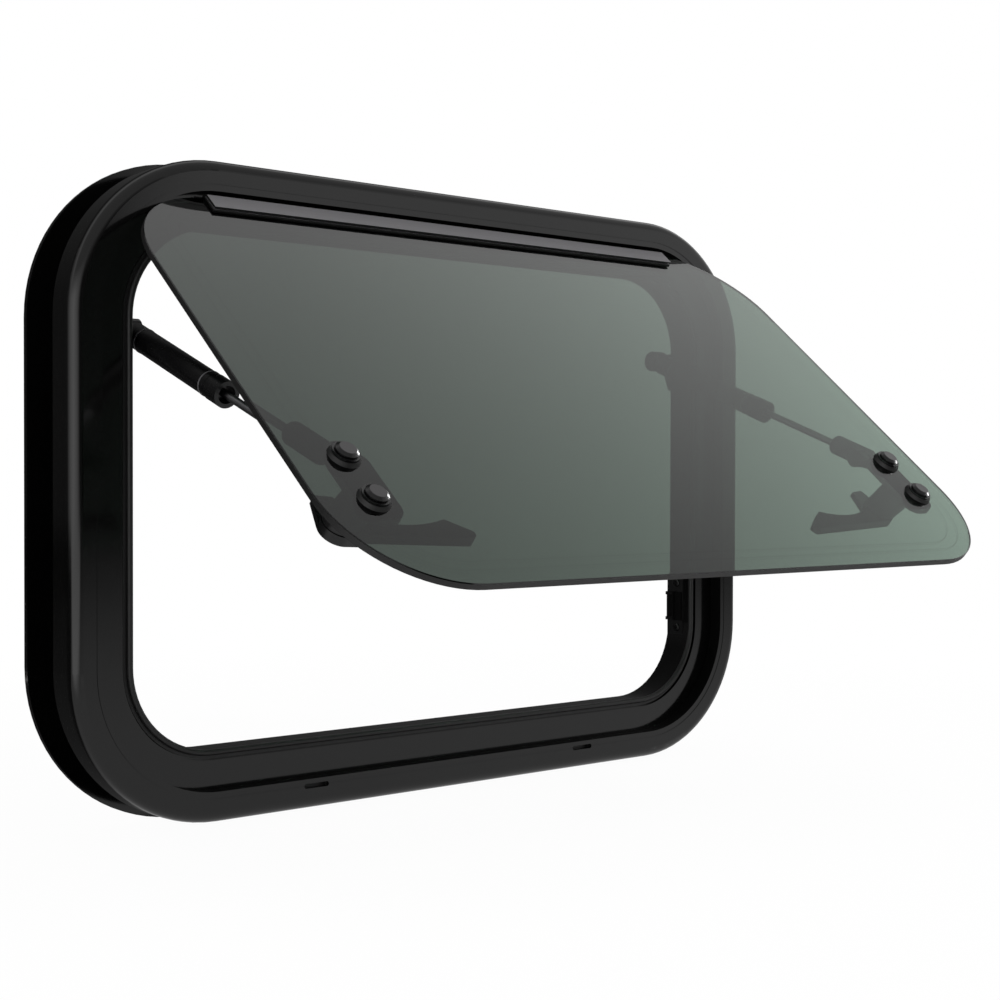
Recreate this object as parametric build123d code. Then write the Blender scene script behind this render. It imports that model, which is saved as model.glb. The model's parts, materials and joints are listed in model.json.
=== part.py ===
from build123d import *
import math
import os

os.makedirs("parts", exist_ok=True)

# Top-hung caravan window. X runs along the wall, Y into the caravan, Z up.
# The origin is the middle of the window on the plane where the flange meets the outer wall skin.

# Frame outline
outer_width = 636
outer_height = 450
corner_radius = 109

# Frame section, measured inward from the outline and from the wall plane
profile_wall = 2
front_depth = 27
shoulder_radius = 8
bead_width = 21.5
flange_foot = 6
line_inset = 16.8
line_width = 0.7
line_depth = 0.4
recess_depth = 15.8
ledge_start = 41.5
ledge_depth = 12.8
reveal_inset = 47.5
reveal_rear = 11
wall_gap = 30

# Drain slots in the lower bead
drain_spacing = 260
drain_length = 21
drain_height = 3.5
drain_inset = 16.6
cut_margin = 1

# Bulb seal on the ledge
seal_bulb_radius = 2.3
seal_overhang = 1.7
seal_foot_width = 5
seal_foot_height = 1.5

# Inner clamp ring
ring_overhang = 3.8
ring_thickness = 2.5
ring_rim_width = 2
ring_rim_height = 2

# Pane, drawn closed
pane_gap = 5
pane_foot_gap = 8.2
pane_thickness = 5
pane_radius = 77
pane_front = -23
pane_edge_bevel = 0.6

# Opening angle of the sash as it stands
opening_angle = 49.8

# Hinge: a round bead on the sash turns inside a hooked rail on the frame
hinge_y = -10.4
hinge_below_bead = 9.7
pane_below_hinge = 7.3
bead_radius = 3.5
hook_clearance = 0.06
hook_radius = 5.8
hook_open_from = 142
hook_open_to = 237
hook_foot_thickness = 2
hook_seat = -3
hook_foot_gap = 2
hook_pocket_clearance = 0.7
hinge_overrun = 11
hinge_rail_lap = 2
hinge_face_stand = 3.6
hinge_face_low = 16.5
hinge_face_high = 2
hinge_wall = 1.2
hinge_cap_lead = 1.5
hinge_cap_rise = 1.2
web_half = 1.1
web_angle = 34.4
web_top_gap = 0.5
web_notch = 0.8

# Fastening bolts through the pane, placed inward from the reveal and up from the lower edge of the pane
bolt_inset = 17.1
bolt_upper_rise = 108.3
bolt_lower_rise = 70.8
washer_radius = 10.6
washer_top_radius = 9.6
washer_height = 2.6
collar_radius = 8.9
collar_height = 1.4
neck_radius = 6.6
neck_height = 0.6
cap_radius = 7.4
cap_height = 2.2
cap_bevel = 2
cap_bevel_height = 1.5

# Latch bracket on the inner face of the pane
pad_thickness = 1.5
plate_thickness = 3
plate_inner_inset = 35
plate_outer_inset = 7
plate_upper_rise = 116.3
plate_lower_rise = 56.3
plate_corner = 11
post_base_inset = 22
post_base_rise = 81.8
post_base_radius = 13
post_tip_radius = 12
post_sink = 1
lug_thickness = 8
lug_socket_gap = 0.5
lug_radius = 6.5
lug_root_rise = 106.8
lug_toe = 2

# Lever, drawn as it stands: unlocked, its arm towards the middle of the window
lever_inset = 19.5
lever_rise = 88.3
lever_face_depth = 33.4
lever_seat_gap = 0.3
lever_thickness = 6.6
lever_boss_radius = 12.5
lever_pin_radius = 5
lever_pin_clearance = 0.06
lever_pin_head_radius = 6.5
lever_pin_head_height = 1.2
lever_head_gap = 0.3
arm_corner = (84.5, -18.4)
arm_end_bulge = (88.8, -16.6)
arm_tip = (89.6, -12.5)
arm_hump = (73.5, -0.8)
arm_waist = (53, -5)
arm_root = (28, -2.9)
finger_step = 3
finger_root_inner = (12.8, 4)
finger_tip_inner = (6.8, 23.8)
finger_tip_outer = (-5.5, 25.6)
finger_root_outer = (-12, 4)

# Striker on each jamb
striker_lift = 5
striker_plate_height = 53
striker_plate_front = -7
striker_plate_thickness = 1
striker_block_height = 25
striker_block_front = -6
striker_block_thickness = 1
striker_rib_width = 1.6
striker_rib_height = 0.8
striker_rib_place = 2
ear_offset = 11
ear_thickness = 2.6
ear_reach = 2.7
ear_front = 2
ear_tip = 9.8

# Stays between the jambs and the pane
stay_inset = 15
jamb_pivot_y = 14
jamb_pivot_drop = 115.7
sash_pivot_rise = 124.8
sash_pivot_depth = 13.2
eye_radius = 8.5
eye_half_width = 6
stay_pin_radius = 4
stay_pin_clearance = 0.06
stay_pin_head_radius = 5
stay_pin_head_height = 2
stay_pin_head_gap = 0.3
barrel_radius = 8.5
barrel_bore_radius = 6.6
eye_neck_start = 8
barrel_start = 18
gland_start = 118
gland_end = 134
gland_radius = 8.9
gland_mouth_radius = 6
gland_mouth_depth = 6
gland_step_width = 1.2
gland_step_depth = 0.7
rod_radius = 2.7
rod_clearance = 0.08
piston_radius = 6.52
piston_start = 100
piston_length = 6
socket_length = 33.5
socket_radius = 7.6
socket_round = 2.6
jamb_plate_thickness = 3
jamb_plate_front = -6
jamb_plate_below = 25
jamb_plate_above = 6.7

# Values that follow from the above
half_width = outer_width / 2
half_height = outer_height / 2
reveal_x = half_width - reveal_inset
hinge_z = half_height - bead_width - hinge_below_bead
pane_top = hinge_z - pane_below_hinge
pane_bottom = -(half_height - bead_width - pane_foot_gap)
pane_width = outer_width - 2 * (bead_width + pane_gap)
pane_height = pane_top - pane_bottom
pane_back = pane_front + pane_thickness
plate_front = pane_back + pad_thickness
plate_back = plate_front + plate_thickness
hinge_axis = Axis((0, hinge_y, hinge_z), (1, 0, 0))


def pane_z(rise):
    # Height on the closed pane of a place measured up from its lower edge
    return pane_bottom + rise


def pane_y(depth):
    # Distance inward from the outer face of the closed pane
    return pane_front + depth


def opened(shape):
    # Swings a piece drawn on the closed sash to the angle it stands at
    return shape.rotate(hinge_axis, -opening_angle)


def profile(points):
    # Flat face from corner points on the working plane
    with BuildSketch() as sketch:
        with BuildLine():
            Polyline(*points, close=True)
        make_face()
    return sketch.sketch


def bent_round(section):
    # Runs a section, drawn as inset and depth, round the whole window outline
    side_plane = Plane(origin=(-half_width, 0, 0), x_dir=(1, 0, 0), z_dir=(0, 0, 1))
    side_length = half_height - corner_radius
    corner_plane = Plane(origin=(-half_width, 0, side_length), x_dir=(1, 0, 0), z_dir=(0, 0, 1))
    top_start = half_width - corner_radius
    top_plane = Plane(origin=(-top_start, 0, half_height), x_dir=(0, 0, -1), z_dir=(1, 0, 0))
    side = extrude(side_plane * section, amount=side_length)
    bend_axis = Axis((-top_start, 0, side_length), (0, 1, 0))
    corner = revolve(corner_plane * section, axis=bend_axis, revolution_arc=90)
    top = extrude(top_plane * section, amount=top_start)
    quarter = side + corner + top
    half = quarter + mirror(quarter, about=Plane.YZ)
    return (half + mirror(half, about=Plane.XY)).clean()


def along_x(section, length):
    # Straight extrusion centred on X of a section drawn as Y and Z
    plane = Plane(origin=(-length / 2, 0, 0), x_dir=(0, 1, 0), z_dir=(1, 0, 0))
    return extrude(plane * section, amount=length)


def rod_x(y, z, radius, x_from, x_to):
    # Round bar along X
    plane = Plane(origin=(x_from, y, z), x_dir=(0, 1, 0), z_dir=(1, 0, 0))
    return extrude(plane * Circle(radius), amount=x_to - x_from)


def rod_y(x, z, radius, y_from, y_to):
    # Round bar along Y
    plane = Plane(origin=(x, y_from, z), x_dir=(1, 0, 0), z_dir=(0, 1, 0))
    return extrude(plane * Circle(radius), amount=y_to - y_from)


def block(x_span, y_span, z_span):
    # Rectangular block between two limits on each axis
    size = (x_span[1] - x_span[0], y_span[1] - y_span[0], z_span[1] - z_span[0])
    middle = (sum(x_span) / 2, sum(y_span) / 2, sum(z_span) / 2)
    return Pos(*middle) * Box(*size)


def save(name, shape):
    # Writes one piece as a single solid
    solid = shape.solids()[0]
    solid.label = name
    export_step(solid, f"parts/{name}.step")


def save_pair(name, shape):
    # Writes the right-hand piece and its mirror image on the left
    save(f"right_{name}", shape)
    save(f"left_{name}", mirror(shape, about=Plane.YZ))


# Outer frame: rounded bead, recess, ledge and reveal in one aluminium section
shoulder_y = -(front_depth - shoulder_radius)
inner_shoulder = shoulder_radius - profile_wall
bead_back = bead_width - profile_wall
ledge_back = -(ledge_depth - profile_wall)
ledge_leg = ledge_start - profile_wall
recess_back = -(recess_depth - profile_wall)
reveal_back = reveal_inset - profile_wall
diagonal = math.sqrt(0.5)
with BuildSketch() as frame_sketch:
    with BuildLine():
        Line((0, 0), (0, shoulder_y))
        ThreePointArc(
            (0, shoulder_y),
            (shoulder_radius * (1 - diagonal), shoulder_y - shoulder_radius * diagonal),
            (shoulder_radius, -front_depth),
        )
        Polyline(
            (shoulder_radius, -front_depth),
            (line_inset, -front_depth),
            (line_inset, line_depth - front_depth),
            (line_inset + line_width, line_depth - front_depth),
            (line_inset + line_width, -front_depth),
            (bead_width, -front_depth),
            (bead_width, -recess_depth),
            (ledge_start, -recess_depth),
            (ledge_start, -ledge_depth),
            (reveal_inset, -ledge_depth),
            (reveal_inset, reveal_rear),
            (reveal_back, reveal_rear),
            (reveal_back, ledge_back),
            (ledge_start, ledge_back),
            (ledge_start, 0),
            (ledge_leg, 0),
            (ledge_leg, recess_back),
            (bead_width, recess_back),
            (bead_width, wall_gap),
            (bead_back, wall_gap),
            (bead_back, -(front_depth - profile_wall)),
            (shoulder_radius, -(front_depth - profile_wall)),
        )
        ThreePointArc(
            (shoulder_radius, -(front_depth - profile_wall)),
            (
                shoulder_radius - inner_shoulder * diagonal,
                shoulder_y - inner_shoulder * diagonal,
            ),
            (profile_wall, shoulder_y),
        )
        Polyline(
            (profile_wall, shoulder_y),
            (profile_wall, -profile_wall),
            (flange_foot, -profile_wall),
            (flange_foot, 0),
            (0, 0),
        )
    make_face()
outer_frame = bent_round(frame_sketch.sketch)
drain_z = -half_height + drain_inset
for drain_x in (-drain_spacing / 2, drain_spacing / 2):
    drain_plane = Plane(
        origin=(drain_x, -front_depth - cut_margin, drain_z), x_dir=(1, 0, 0), z_dir=(0, 1, 0)
    )
    drain_slot = SlotOverall(drain_length, drain_height)
    outer_frame -= extrude(drain_plane * drain_slot, amount=profile_wall + 2 * cut_margin)

# Pocket in the upper recess that the hinge stands in
hinge_profile_length = outer_width - 2 * corner_radius + 2 * hinge_overrun
hinge_rail_length = hinge_profile_length + 2 * hinge_rail_lap
pocket_half_length = hinge_rail_length / 2 + hook_pocket_clearance
pocket_half_height = hook_radius + hook_pocket_clearance
outer_frame -= block(
    (-pocket_half_length, pocket_half_length),
    (-recess_depth - cut_margin, recess_back + cut_margin),
    (hinge_z - pocket_half_height, hinge_z + pocket_half_height),
)
save("outer_frame", outer_frame)

# Bulb seal standing on the ledge and leaning over its inner edge
bulb_inset = reveal_inset + seal_overhang - seal_bulb_radius
foot_end = reveal_inset - seal_foot_width
seal_foot = [
    (foot_end, -ledge_depth),
    (bulb_inset, -ledge_depth),
    (bulb_inset, -ledge_depth - seal_foot_height),
    (foot_end, -ledge_depth - seal_foot_height),
]
bulb_depth = -ledge_depth - seal_bulb_radius
seal_bulb = Pos(bulb_inset, bulb_depth) * Circle(seal_bulb_radius)
save("frame_seal", bent_round(seal_bulb + profile(seal_foot)))

# Clamp ring inside the caravan, drawn up against the rear edge of the frame
ring_back = wall_gap + ring_thickness
ring_section = profile(
    [
        (-ring_overhang, wall_gap),
        (bead_width, wall_gap),
        (bead_width, ring_back),
        (ring_rim_width - ring_overhang, ring_back),
        (ring_rim_width - ring_overhang, ring_back + ring_rim_height),
        (-ring_overhang, ring_back + ring_rim_height),
    ]
)
save("clamp_ring", bent_round(ring_section))

# Hinge rail: a hooked channel held between the bead and the ledge of the upper bar
wedge_reach = 3 * hook_radius
wedge_middle = (hook_open_from + hook_open_to) / 2


def around_hinge(angle, reach):
    # Place on the hinge section at an angle and distance from the pivot
    return (
        hinge_y + reach * math.cos(math.radians(angle)),
        hinge_z + reach * math.sin(math.radians(angle)),
    )


foot_low = half_height - ledge_leg
foot_high = half_height - bead_width - hook_foot_gap
foot_points = [
    (hook_seat - hook_foot_thickness, foot_low),
    (hook_seat, foot_low),
    (hook_seat, foot_high),
    (hook_seat - hook_foot_thickness, foot_high),
]
neck_points = [
    (hinge_y, hinge_z - hook_radius),
    (hook_seat, hinge_z - hook_radius),
    (hook_seat, hinge_z + hook_radius),
    (hinge_y, hinge_z + hook_radius),
]
wedge_points = [
    (hinge_y, hinge_z),
    around_hinge(hook_open_from, wedge_reach),
    around_hinge(wedge_middle, wedge_reach),
    around_hinge(hook_open_to, wedge_reach),
]
hook_section = Pos(hinge_y, hinge_z) * Circle(hook_radius) + profile(foot_points) + profile(neck_points)
hook_section -= Pos(hinge_y, hinge_z) * Circle(bead_radius + hook_clearance)
hook_section -= profile(wedge_points)
save("hinge_rail", along_x(hook_section, hinge_rail_length))

# Pane of tinted safety glass
pane_plane = Plane(origin=(0, pane_front, (pane_top + pane_bottom) / 2), x_dir=(1, 0, 0), z_dir=(0, 1, 0))
glass = extrude(pane_plane * RectangleRounded(pane_width, pane_height, pane_radius), amount=pane_thickness)
glass = chamfer(glass.faces().sort_by(Axis.Y)[0].edges(), pane_edge_bevel)
glass = chamfer(glass.faces().sort_by(Axis.Y)[-1].edges(), pane_edge_bevel)
save("glass_pane", opened(glass))

# Hinge profile on the top of the pane, with the bead that turns in the rail
face_y = pane_front - hinge_face_stand
web_dir = math.radians(180 + web_angle)
web_side = math.radians(90 + web_angle)
web_up = (web_half * math.cos(web_side), web_half * math.sin(web_side))


def web_point(side, y):
    # Place on the upper or lower face of the web at a given Y
    start_y = hinge_y + side * web_up[0]
    start_z = hinge_z + side * web_up[1]
    run = (y - start_y) / math.cos(web_dir)
    return (y, start_z + run * math.sin(web_dir))


cap_y = pane_front - hinge_cap_lead
cap_z = pane_top + web_top_gap + hinge_cap_rise
face_low = pane_top - hinge_face_low
face_high = pane_top - hinge_face_high
slope = math.atan2(cap_z - face_high, cap_y - face_y)
inner_slope_y = face_y + hinge_wall * math.sin(slope)
inner_slope_z = face_high - hinge_wall * math.cos(slope)


def inner_slope(y):
    # Underside of the sloping top of the channel
    return (y, inner_slope_z + (y - inner_slope_y) * math.tan(slope))


hinge_points = [
    (face_y, face_low),
    (face_y, face_high),
    (cap_y, cap_z),
    web_point(1, pane_back - web_notch),
    (hinge_y + web_up[0], hinge_z + web_up[1]),
    (hinge_y - web_up[0], hinge_z - web_up[1]),
    web_point(-1, pane_back),
    (pane_front, pane_top + web_top_gap),
    (pane_front, face_low),
    (pane_front - hinge_wall, face_low),
    inner_slope(pane_front - hinge_wall),
    inner_slope(face_y + hinge_wall),
    (face_y + hinge_wall, face_low),
]
hinge_section = profile(hinge_points) + Pos(hinge_y, hinge_z) * Circle(bead_radius)
save("hinge_profile", opened(along_x(hinge_section, hinge_profile_length)))

# Washers and capped bolts on the outer face of the pane
washer_top = pane_front - washer_height
collar_top = washer_top - collar_height
neck_top = collar_top - neck_height
bolt_top = neck_top - cap_height
bolt_x = reveal_x - bolt_inset
for place, bolt_rise in (("upper", bolt_upper_rise), ("lower", bolt_lower_rise)):
    bolt_z = pane_z(bolt_rise)
    washer_plane = Plane(origin=(bolt_x, pane_front, bolt_z), x_dir=(1, 0, 0), z_dir=(0, -1, 0))
    washer_tip = Plane(origin=(bolt_x, washer_top, bolt_z), x_dir=(1, 0, 0), z_dir=(0, -1, 0))
    washer = loft([washer_plane * Circle(washer_radius), washer_tip * Circle(washer_top_radius)])
    save_pair(f"{place}_washer", opened(washer))
    collar = rod_y(bolt_x, bolt_z, collar_radius, collar_top, washer_top)
    neck = rod_y(bolt_x, bolt_z, neck_radius, neck_top, collar_top)
    cap = rod_y(bolt_x, bolt_z, cap_radius, bolt_top, neck_top)
    cap_rim = cap.faces().sort_by(Axis.Y)[0].edges()
    cap = chamfer(cap_rim, cap_bevel_height, cap_bevel)
    save_pair(f"{place}_bolt", opened(collar + neck + cap))

# Latch bracket: pad, plate, leaning post and the fin that takes the stay
plate_width = plate_inner_inset - plate_outer_inset
plate_x = reveal_x - (plate_inner_inset + plate_outer_inset) / 2
plate_z = pane_z((plate_upper_rise + plate_lower_rise) / 2)
plate_outline = RectangleRounded(plate_width, plate_upper_rise - plate_lower_rise, plate_corner)


def on_pane(x, z, depth):
    # Working plane parallel to the closed pane, facing into the caravan
    return Plane(origin=(x, pane_y(depth), z), x_dir=(-1, 0, 0), z_dir=(0, 1, 0))


pad = extrude(on_pane(plate_x, plate_z, pane_thickness) * plate_outline, amount=pad_thickness)
save_pair("latch_pad", opened(pad))
pad_depth = pane_thickness + pad_thickness
plate_depth = pad_depth + plate_thickness
plate = extrude(on_pane(plate_x, plate_z, pad_depth) * plate_outline, amount=plate_thickness)
lever_x = reveal_x - lever_inset
lever_z = pane_z(lever_rise)
post_tip_depth = lever_face_depth - lever_seat_gap
post_base = on_pane(reveal_x - post_base_inset, pane_z(post_base_rise), plate_depth - post_sink)
post_tip = on_pane(lever_x, lever_z, post_tip_depth)
post = loft([post_base * Circle(post_base_radius), post_tip * Circle(post_tip_radius)])
stay_x = reveal_x - stay_inset
sash_pivot_y = pane_y(sash_pivot_depth)
sash_pivot_z = pane_z(sash_pivot_rise)
lug_seat = plate_back - post_sink
lug_points = [
    (sash_pivot_y - lug_radius, sash_pivot_z),
    (lug_seat - lug_toe, pane_z(plate_upper_rise)),
    (lug_seat, pane_z(lug_root_rise)),
    (sash_pivot_y + lug_radius, sash_pivot_z),
]
lug_outer_x = stay_x - socket_radius - lug_socket_gap
lug_plane = Plane(origin=(lug_outer_x, 0, 0), x_dir=(0, 1, 0), z_dir=(1, 0, 0))
lug_section = profile(lug_points) + Pos(sash_pivot_y, sash_pivot_z) * Circle(lug_radius)
lug = extrude(lug_plane * lug_section, amount=-lug_thickness)
save_pair("latch_bracket", opened(plate + post + lug))

# Pin that holds the lever on the post
lever_back_depth = lever_face_depth + lever_thickness
head_front = pane_y(lever_back_depth + lever_head_gap)
pin = rod_y(lever_x, lever_z, lever_pin_radius, pane_y(post_tip_depth), head_front)
pin += rod_y(lever_x, lever_z, lever_pin_head_radius, head_front, head_front + lever_pin_head_height)
save_pair("lever_pin", opened(pin))

# Lever: boss, arm towards the middle of the window, tapered finger up the pane
with BuildSketch() as arm_sketch:
    with BuildLine():
        Line((0, -lever_boss_radius), arm_corner)
        ThreePointArc(arm_corner, arm_end_bulge, arm_tip)
        Line(arm_tip, arm_hump)
        Spline(arm_hump, arm_waist, arm_root, (0, lever_boss_radius))
        Line((0, lever_boss_radius), (0, -lever_boss_radius))
    make_face()
    Circle(lever_boss_radius)
    Circle(lever_pin_radius + lever_pin_clearance, mode=Mode.SUBTRACT)
finger_outline = profile([finger_root_inner, finger_tip_inner, finger_tip_outer, finger_root_outer])
finger_outline -= Circle(lever_pin_radius + lever_pin_clearance)
finger_depth = lever_face_depth + finger_step
arm = extrude(on_pane(lever_x, lever_z, lever_face_depth) * arm_sketch.sketch, amount=lever_thickness)
finger_plane = on_pane(lever_x, lever_z, finger_depth)
finger = extrude(finger_plane * finger_outline, amount=lever_thickness - finger_step)
save_pair("lever", opened(arm + finger))

# Striker plates on the jambs, a block with two pointed ears on each
seat_x = reveal_x - striker_plate_thickness
block_x = seat_x - striker_block_thickness
striker_z = lever_z + striker_lift
half_plate = striker_plate_height / 2
half_block = striker_block_height / 2
striker = block(
    (seat_x, reveal_x),
    (striker_plate_front, reveal_rear),
    (striker_z - half_plate, striker_z + half_plate),
)
striker += block(
    (block_x, seat_x),
    (striker_block_front, reveal_rear),
    (striker_z - half_block, striker_z + half_block),
)
striker += block(
    (block_x - striker_rib_height, block_x),
    (striker_rib_place, striker_rib_place + striker_rib_width),
    (striker_z - half_block, striker_z + half_block),
)
ear_points = [(block_x, ear_front), (block_x - ear_reach, ear_tip), (block_x, reveal_rear)]
for ear_z in (striker_z - ear_offset, striker_z + ear_offset):
    ear_plane = Plane(origin=(0, 0, ear_z - ear_thickness / 2), x_dir=(1, 0, 0), z_dir=(0, 0, 1))
    striker += extrude(ear_plane * profile(ear_points), amount=ear_thickness)
save_pair("striker", striker - outer_frame)

# Stay bracket on each jamb, with its pin
jamb_x = reveal_x - jamb_plate_thickness
jamb_pivot_z = half_height - jamb_pivot_drop
jamb_plate_low = jamb_pivot_z - jamb_plate_below
jamb_plate_high = jamb_pivot_z + jamb_plate_above
jamb_plane = Plane(origin=(jamb_x, 0, 0), x_dir=(0, 1, 0), z_dir=(1, 0, 0))
jamb_points = [
    (jamb_plate_front, jamb_plate_low),
    (reveal_rear, jamb_plate_low),
    (jamb_pivot_y + jamb_plate_above, jamb_pivot_z),
    (reveal_rear, jamb_plate_high),
    (jamb_plate_front, jamb_plate_high),
]
jamb_section = profile(jamb_points) + Pos(jamb_pivot_y, jamb_pivot_z) * Circle(jamb_plate_above)
jamb = extrude(jamb_plane * jamb_section, amount=jamb_plate_thickness)
eye_inner = stay_x - eye_half_width
eye_outer = stay_x + eye_half_width
pin_end = eye_inner - stay_pin_head_gap
jamb += rod_x(jamb_pivot_y, jamb_pivot_z, stay_pin_radius, pin_end, jamb_x)
head_end = pin_end - stay_pin_head_height
jamb += rod_x(jamb_pivot_y, jamb_pivot_z, stay_pin_head_radius, head_end, pin_end)
save_pair("stay_bracket", jamb - outer_frame)

# Where the stay runs, from the jamb pivot to the pivot on the standing sash
turn = math.radians(opening_angle)
arm_y = sash_pivot_y - hinge_y
arm_z = sash_pivot_z - hinge_z
stand_y = hinge_y + arm_y * math.cos(turn) + arm_z * math.sin(turn)
stand_z = hinge_z - arm_y * math.sin(turn) + arm_z * math.cos(turn)
run_y = stand_y - jamb_pivot_y
run_z = stand_z - jamb_pivot_z
stay_length = math.hypot(run_y, run_z)
stay_dir = (0, run_y / stay_length, run_z / stay_length)


def along_stay(distance):
    # Working plane across the stay at a distance from the jamb pivot
    origin = (
        stay_x,
        jamb_pivot_y + distance * stay_dir[1],
        jamb_pivot_z + distance * stay_dir[2],
    )
    return Plane(origin=origin, x_dir=(1, 0, 0), z_dir=stay_dir)


def turned(radius, start, end):
    # Round bar along the stay
    return extrude(along_stay(start) * Circle(radius), amount=end - start)


# Eye that closes the barrel and turns on the jamb pin
eye = rod_x(jamb_pivot_y, jamb_pivot_z, eye_radius, eye_inner, eye_outer)
eye += turned(barrel_radius, eye_neck_start, barrel_start)
eye_bore = stay_pin_radius + stay_pin_clearance
eye -= rod_x(jamb_pivot_y, jamb_pivot_z, eye_bore, eye_inner - cut_margin, eye_outer + cut_margin)
save_pair("stay_eye", eye)

# Barrel tube and the gland that guides the rod
barrel = turned(barrel_radius, barrel_start, gland_start)
barrel -= turned(barrel_bore_radius, barrel_start, gland_start)
save_pair("stay_barrel", barrel)
gland = turned(gland_radius, gland_start, gland_end)
groove_end = gland_start + gland_step_width
groove_floor = turned(gland_radius - gland_step_depth, gland_start, groove_end)
gland -= turned(gland_radius, gland_start, groove_end) - groove_floor
mouth_start = gland_end - gland_mouth_depth
gland -= turned(gland_mouth_radius, mouth_start, gland_end)
gland -= turned(rod_radius + rod_clearance, gland_start, gland_end)
save_pair("stay_gland", gland)

# Rod with its piston, and the socket on the end of it
socket_start = stay_length - socket_length
rod = turned(rod_radius, piston_start, socket_start)
rod += turned(piston_radius, piston_start, piston_start + piston_length)
save_pair("stay_rod", rod)
socket = turned(socket_radius, socket_start, stay_length)
socket = fillet(socket.faces().sort_by(Axis((0, 0, 0), stay_dir))[0].edges(), socket_round)
ball = Pos(stay_x, stand_y, stand_z) * Sphere(socket_radius)
save_pair("stay_socket", socket + ball)
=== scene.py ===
# %% [markdown]
# A top-hung caravan window stands propped open on its two stays. The solid parts come from the packed
# model, which is loaded as a fixed frame. This lesson gives them their finishes, adds the small fasteners
# and trim, and lights the whole like a plain studio picture.

# %% Load the frame
import json
import math

import bpy
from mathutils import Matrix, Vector


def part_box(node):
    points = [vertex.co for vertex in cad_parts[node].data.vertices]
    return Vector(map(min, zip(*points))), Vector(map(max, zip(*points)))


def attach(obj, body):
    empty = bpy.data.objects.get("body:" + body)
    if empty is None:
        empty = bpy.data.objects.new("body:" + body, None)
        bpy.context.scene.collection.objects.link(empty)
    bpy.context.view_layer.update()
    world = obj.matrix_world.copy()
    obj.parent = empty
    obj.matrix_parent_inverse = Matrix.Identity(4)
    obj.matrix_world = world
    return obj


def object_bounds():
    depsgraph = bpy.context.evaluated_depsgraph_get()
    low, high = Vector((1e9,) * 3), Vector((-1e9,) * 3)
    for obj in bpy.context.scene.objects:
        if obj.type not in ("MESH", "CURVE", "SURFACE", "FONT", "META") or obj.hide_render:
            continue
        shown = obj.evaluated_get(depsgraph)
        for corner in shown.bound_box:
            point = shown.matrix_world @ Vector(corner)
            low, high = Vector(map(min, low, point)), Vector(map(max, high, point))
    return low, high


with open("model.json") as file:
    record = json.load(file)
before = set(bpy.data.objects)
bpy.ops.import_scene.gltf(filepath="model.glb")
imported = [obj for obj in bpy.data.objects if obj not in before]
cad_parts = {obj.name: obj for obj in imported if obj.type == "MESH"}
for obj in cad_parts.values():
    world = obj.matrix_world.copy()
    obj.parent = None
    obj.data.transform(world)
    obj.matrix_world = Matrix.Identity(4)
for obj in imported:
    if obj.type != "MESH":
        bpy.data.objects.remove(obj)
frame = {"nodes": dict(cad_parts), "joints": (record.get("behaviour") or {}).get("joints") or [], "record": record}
cad_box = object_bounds()
nodes = frame["nodes"]

# %% [markdown]
# Finishes are node graphs. They could be wired socket by socket, but that is hard to read back. Two small
# classes help: a graph makes any node from its type, its settings and its inputs, and a wire stands for
# one output, so that sums on wires read like plain arithmetic.


# %% Wires and graphs
class Wire:
    """One output socket of a node graph."""

    def __init__(self, graph, socket):
        self.graph = graph
        self.socket = socket

    def sum_with(self, operation, first, second):
        return self.graph.node("ShaderNodeMath", {"operation": operation}, {0: first, 1: second})

    def __add__(self, other):
        return self.sum_with("ADD", self, other)

    def __radd__(self, other):
        return self.sum_with("ADD", other, self)

    def __sub__(self, other):
        return self.sum_with("SUBTRACT", self, other)

    def __rsub__(self, other):
        return self.sum_with("SUBTRACT", other, self)

    def __mul__(self, other):
        return self.sum_with("MULTIPLY", self, other)

    def __rmul__(self, other):
        return self.sum_with("MULTIPLY", other, self)


class Graph:
    """The node tree of one material or of the world."""

    def __init__(self, tree):
        self.tree = tree
        tree.nodes.clear()

    def node(self, kind, settings=None, inputs=None, output=0):
        made = self.tree.nodes.new(kind)
        for key, value in (settings or {}).items():
            if key == "stops":
                ramp = made.color_ramp.elements
                ramp[0].position, ramp[0].color = value[0]
                ramp[1].position, ramp[1].color = value[-1]
                for position, color in value[1:-1]:
                    ramp.new(position).color = color
            else:
                setattr(made, key, value)
        for key, value in (inputs or {}).items():
            if isinstance(value, Wire):
                self.tree.links.new(value.socket, made.inputs[key])
            else:
                made.inputs[key].default_value = value
        return Wire(self, made.outputs[output]) if made.outputs else None

    def place(self):
        """Where a point lies, in the piece's own coordinates."""
        return self.node("ShaderNodeTexCoord", {}, {}, "Object")

    def part(self, vector, axis):
        """One coordinate of a vector."""
        return self.node("ShaderNodeSeparateXYZ", {}, {0: vector}, axis)

    def vectors(self, operation, *inputs, output=0):
        """A sum on whole vectors."""
        return self.node("ShaderNodeVectorMath", {"operation": operation}, dict(enumerate(inputs)), output)

    def ease(self, value, span, ends):
        """Goes evenly from one end to the other while a value crosses a span."""
        inputs = dict(enumerate((value, *span, *ends)))
        return self.node("ShaderNodeMapRange", {}, inputs)


print("wires and graphs ready")

# %% [markdown]
# Most finishes here are one shader with a few sockets set. A finish is therefore written as a function that
# gives the sockets, and one helper makes the material round it. Noise on the piece's own coordinates keeps
# a gloss from looking like a mirror, and stays fixed when the piece moves.


# %% Finish helpers
def start_finish(name):
    """An empty material and its graph."""
    material = bpy.data.materials.new(name)
    material.use_nodes = True
    return material, Graph(material.node_tree)


def close_finish(graph, surface):
    """Ends a material's graph in its output."""
    graph.node("ShaderNodeOutputMaterial", {}, {"Surface": surface})


def make_finish(sockets):
    """A material with one shader, named after the function that gives its sockets."""
    material, graph = start_finish(sockets.__name__)
    close_finish(graph, graph.node("ShaderNodeBsdfPrincipled", {}, sockets(graph)))
    print("made the finish", material.name)
    return material


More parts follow.
